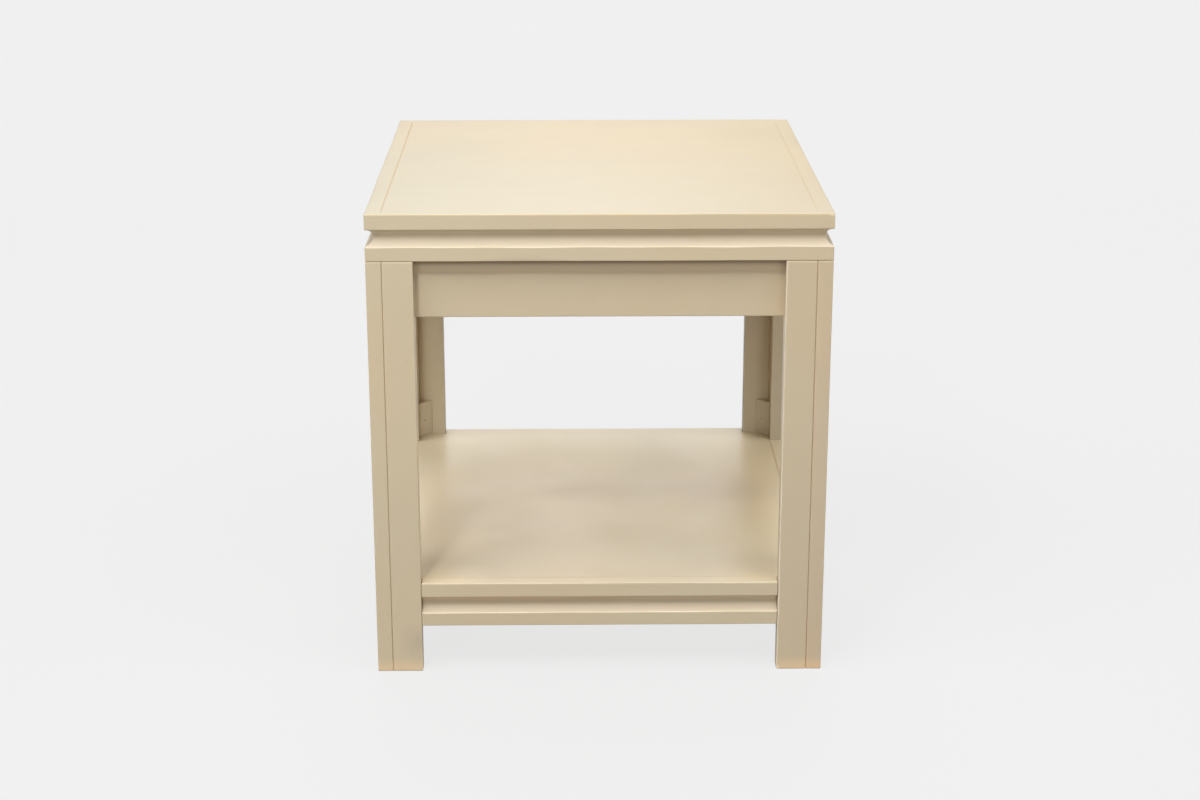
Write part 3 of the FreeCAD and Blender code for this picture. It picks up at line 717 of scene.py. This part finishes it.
board("top_panel", "y", LACQUER["y"], radius=(0.22, 0.5, 0.4, 0.22), end=0.22, wobble=0.2, seams=(0, 1.0, 0.60, 0, 0.3, 0.1), step=30.0)
for side, turn, first, last in (
    ("front", 0, ("front", "left"), ("front", "right")),
    ("right", 90, ("front", "right"), ("rear", "right")),
    ("rear", 180, ("rear", "right"), ("rear", "left")),
    ("left", -90, ("rear", "left"), ("front", "left")),
):
    grain = "x" if side in ("front", "rear") else "y"
    moulding("top_edge_" + side, turn, LACQUER[grain], True, top_shape(side, WORN[first], WORN[last]))
    moulding("shelf_edge_" + side, turn, SHELF[grain], False, shelf_shape(side))
    board("apron_" + side, grain, LACQUER[grain], radius=1.1, end=0.6)
board("shelf_panel", "y", SHELF["y"], radius=(0.22, 0.22, 0.75, 0.22), end=0.22, wobble=0.2, seams=(0, 0.3, 1.0, 0, 0.3, 0.1), step=30.0)

CHIPS = {
    "leg_front_left_face": [(1, 238.0, 0.5, 7.0)],
    "leg_front_right_face": [(0, 4.0, 2.2, 5.0)],
    "leg_front_right_side": [(1, 410.0, 0.8, 6.0), (2, 96.0, 0.7, 9.0)],
    "leg_rear_left_side": [(0, 233.0, 0.9, 8.0)],
    "leg_rear_right_face": [(2, 150.0, 0.7, 6.0)],
}
# the corner of each leg board that faces its neighbour across the V groove, and the
# corner that is turned to the inside of the table
for end, hand, face, side, inner in (
    ("front", "left", 0, 1, 2),
    ("front", "right", 1, 0, 3),
    ("rear", "left", 3, 2, 1),
    ("rear", "right", 2, 3, 0),
):
    for part, lip in (("face", face), ("side", side)):
        node = "leg_%s_%s_%s" % (end, hand, part)
        radii, glint_corners = [1.15] * 4, ()
        if part == "face":
            radii[inner] = 0.5
            if (end, hand) == ("front", "right"):
                # its inner front arris is rounded wider and carries a painted highlight
                glint_corners = (3 - inner,)
                radii[3 - inner] = 2.3
        groove = {lip: (2.1, 1.1) if lip in (0, 2) else (1.1, 2.1)}
        board(node, "z", LACQUER["z"], radius=tuple(radii), end=1.1, wobble=0.2, chips=CHIPS.get(node, ()), lips=groove, gap=0.5, glint_corners=glint_corners)

for name, turn in (("front_left", 0), ("front_right", 90), ("rear_right", 180), ("rear_left", -90)):
    # the brad is set a tenth of a side off the middle of the long face
    wedge("shelf_corner_block_" + name, turn, LACQUER["z"], (-0.1 * BOARD * math.sqrt(2), 24.0, 1.25, 0.8))
    for block in ("apron_corner_block_", "shelf_support_block_"):
        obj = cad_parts[block + name]
        obj.data.materials.clear()
        obj.data.materials.append(BARE)

for node in ("leg_screws", "apron_block_screws", "top_screws", "shelf_screws", "shelf_block_brads"):
    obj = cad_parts[node]
    obj.data.materials.clear()
    obj.data.materials.append(STEEL)

# ------------------------------------------------------------------------- stage

# the floor is lit by the lamps and takes the shadow; what it throws back on the table
# is the even glow of the lower half of the sky
floor_mesh = bpy.data.meshes.new("floor")
ring = [(40.0 * math.cos(math.tau * k / 96), 40.0 * math.sin(math.tau * k / 96), -0.0003) for k in range(96)]
floor_mesh.from_pydata(ring, [], [tuple(range(96))])
floor = bpy.data.objects.new("floor", floor_mesh)
bpy.context.scene.collection.objects.link(floor)
floor.visible_diffuse = floor.visible_glossy = floor.visible_shadow = False
paper = Nodes("pale_floor")
tone = paper.mix(paper.remap(paper.noise(paper.coords(), 0.7, 3.0, 0.5), 0.3, 0.7), (0.068, 0.068, 0.068), (0.072, 0.072, 0.072))
paper.link(tone, paper.shader.inputs["Base Color"])
# a lit sweep: most of its brightness comes from behind, so shadows on it are pale
paper.shader.inputs["Emission Color"].default_value = (1.0, 1.0, 1.0, 1.0)
paper.shader.inputs["Emission Strength"].default_value = 0.762
paper.shader.inputs["Roughness"].default_value = 0.9
paper.shader.inputs["Specular IOR Level"].default_value = 0.1
floor_mesh.materials.append(paper.material)

# soft lamps: azimuth (0 in front, 90 on the right), elevation, radius, strength
LAMPS = (
    (-20, 18, 12, 6.50),
    (-20, 66, 20, 1.00),
    (20, 18, 12, 4.85),
    (20, 48, 20, 0.40),
    (-60, 50, 25, 5.45),
    (60, 50, 25, 3.90),
    (97, 8, 20, 3.20),
    (0, 88, 22, 1.20),
    (167, 20, 10, 0.70),
    (180, 20, 10, 2.20),
    (193, 20, 10, 0.80),
    (180, 45, 26, 1.90),
    (180, -8, 18, 0.70),
    (180, 66, 26, 2.80),
)
FLOOR_GLOW = 0.36
BACKDROP = 0.86

world = bpy.data.worlds.new("studio")
bpy.context.scene.world = world
world.use_nodes = True
tree = world.node_tree
tree.nodes.clear()
sky = tree.nodes.new("ShaderNodeTexCoord").outputs["Generated"]


def glow(direction, start, end, strength):
    """Light from around a direction: none at the cosine start, full at the cosine end."""
    dot = tree.nodes.new("ShaderNodeVectorMath")
    dot.operation = "DOT_PRODUCT"
    tree.links.new(sky, dot.inputs[0])
    dot.inputs[1].default_value = direction
    edge = tree.nodes.new("ShaderNodeMapRange")
    edge.interpolation_type = "SMOOTHSTEP"
    tree.links.new(dot.outputs["Value"], edge.inputs["Value"])
    edge.inputs["From Min"].default_value = start
    edge.inputs["From Max"].default_value = end
    edge.inputs["To Max"].default_value = strength
    return edge.outputs["Result"]


total = glow((0.0, 0.0, -1.0), -0.02, 0.02, FLOOR_GLOW)
for azimuth, elevation, radius, strength in LAMPS:
    a, e = math.radians(azimuth), math.radians(elevation)
    towards = (math.sin(a) * math.cos(e), -math.cos(a) * math.cos(e), math.sin(e))
    add = tree.nodes.new("ShaderNodeMath")
    add.operation = "ADD"
    tree.links.new(total, add.inputs[0])
    tree.links.new(glow(towards, math.cos(math.radians(radius)), 1.0, strength), add.inputs[1])
    total = add.outputs[0]
lamps = tree.nodes.new("ShaderNodeBackground")
tree.links.new(total, lamps.inputs["Strength"])
lamps.inputs["Color"].default_value = (1.0, 1.0, 1.0, 1.0)
backdrop = tree.nodes.new("ShaderNodeBackground")
backdrop.inputs["Color"].default_value = (BACKDROP, BACKDROP, BACKDROP, 1.0)
seen = tree.nodes.new("ShaderNodeMixShader")
tree.links.new(tree.nodes.new("ShaderNodeLightPath").outputs["Is Camera Ray"], seen.inputs[0])
tree.links.new(lamps.outputs["Background"], seen.inputs[1])
tree.links.new(backdrop.outputs["Background"], seen.inputs[2])
tree.links.new(seen.outputs["Shader"], tree.nodes.new("ShaderNodeOutputWorld").inputs["Surface"])

# and one smaller lamp above the left shoulder of the camera, which draws the shadow lines
bulb = bpy.data.lights.new("key_lamp", "AREA")
bulb.shape = "DISK"
bulb.size = 0.30
bulb.energy = 16.0
key = bpy.data.objects.new("key_lamp", bulb)
key.location = (-0.610, -1.732, 2.140)
key.rotation_euler = (Vector((0.0, -0.2, 0.4)) - key.location).to_track_quat("-Z", "Y").to_euler()
key.visible_glossy = False
bpy.context.scene.collection.objects.link(key)

bpy.context.scene.view_settings.view_transform = "Standard"
bpy.context.scene.view_settings.look = "None"

lens = bpy.data.cameras.new("camera")
lens.sensor_fit = "HORIZONTAL"
lens.sensor_width = 36.0
lens.lens = 66.467
lens.clip_start, lens.clip_end = 0.05, 200.0
camera = bpy.data.objects.new("camera", lens)
camera.location = (-0.036, -2.8744, 1.1792)
camera.rotation_euler = (math.radians(90 - 17.703), 0.0, math.radians(-0.809))
bpy.context.scene.collection.objects.link(camera)
bpy.context.scene.camera = camera
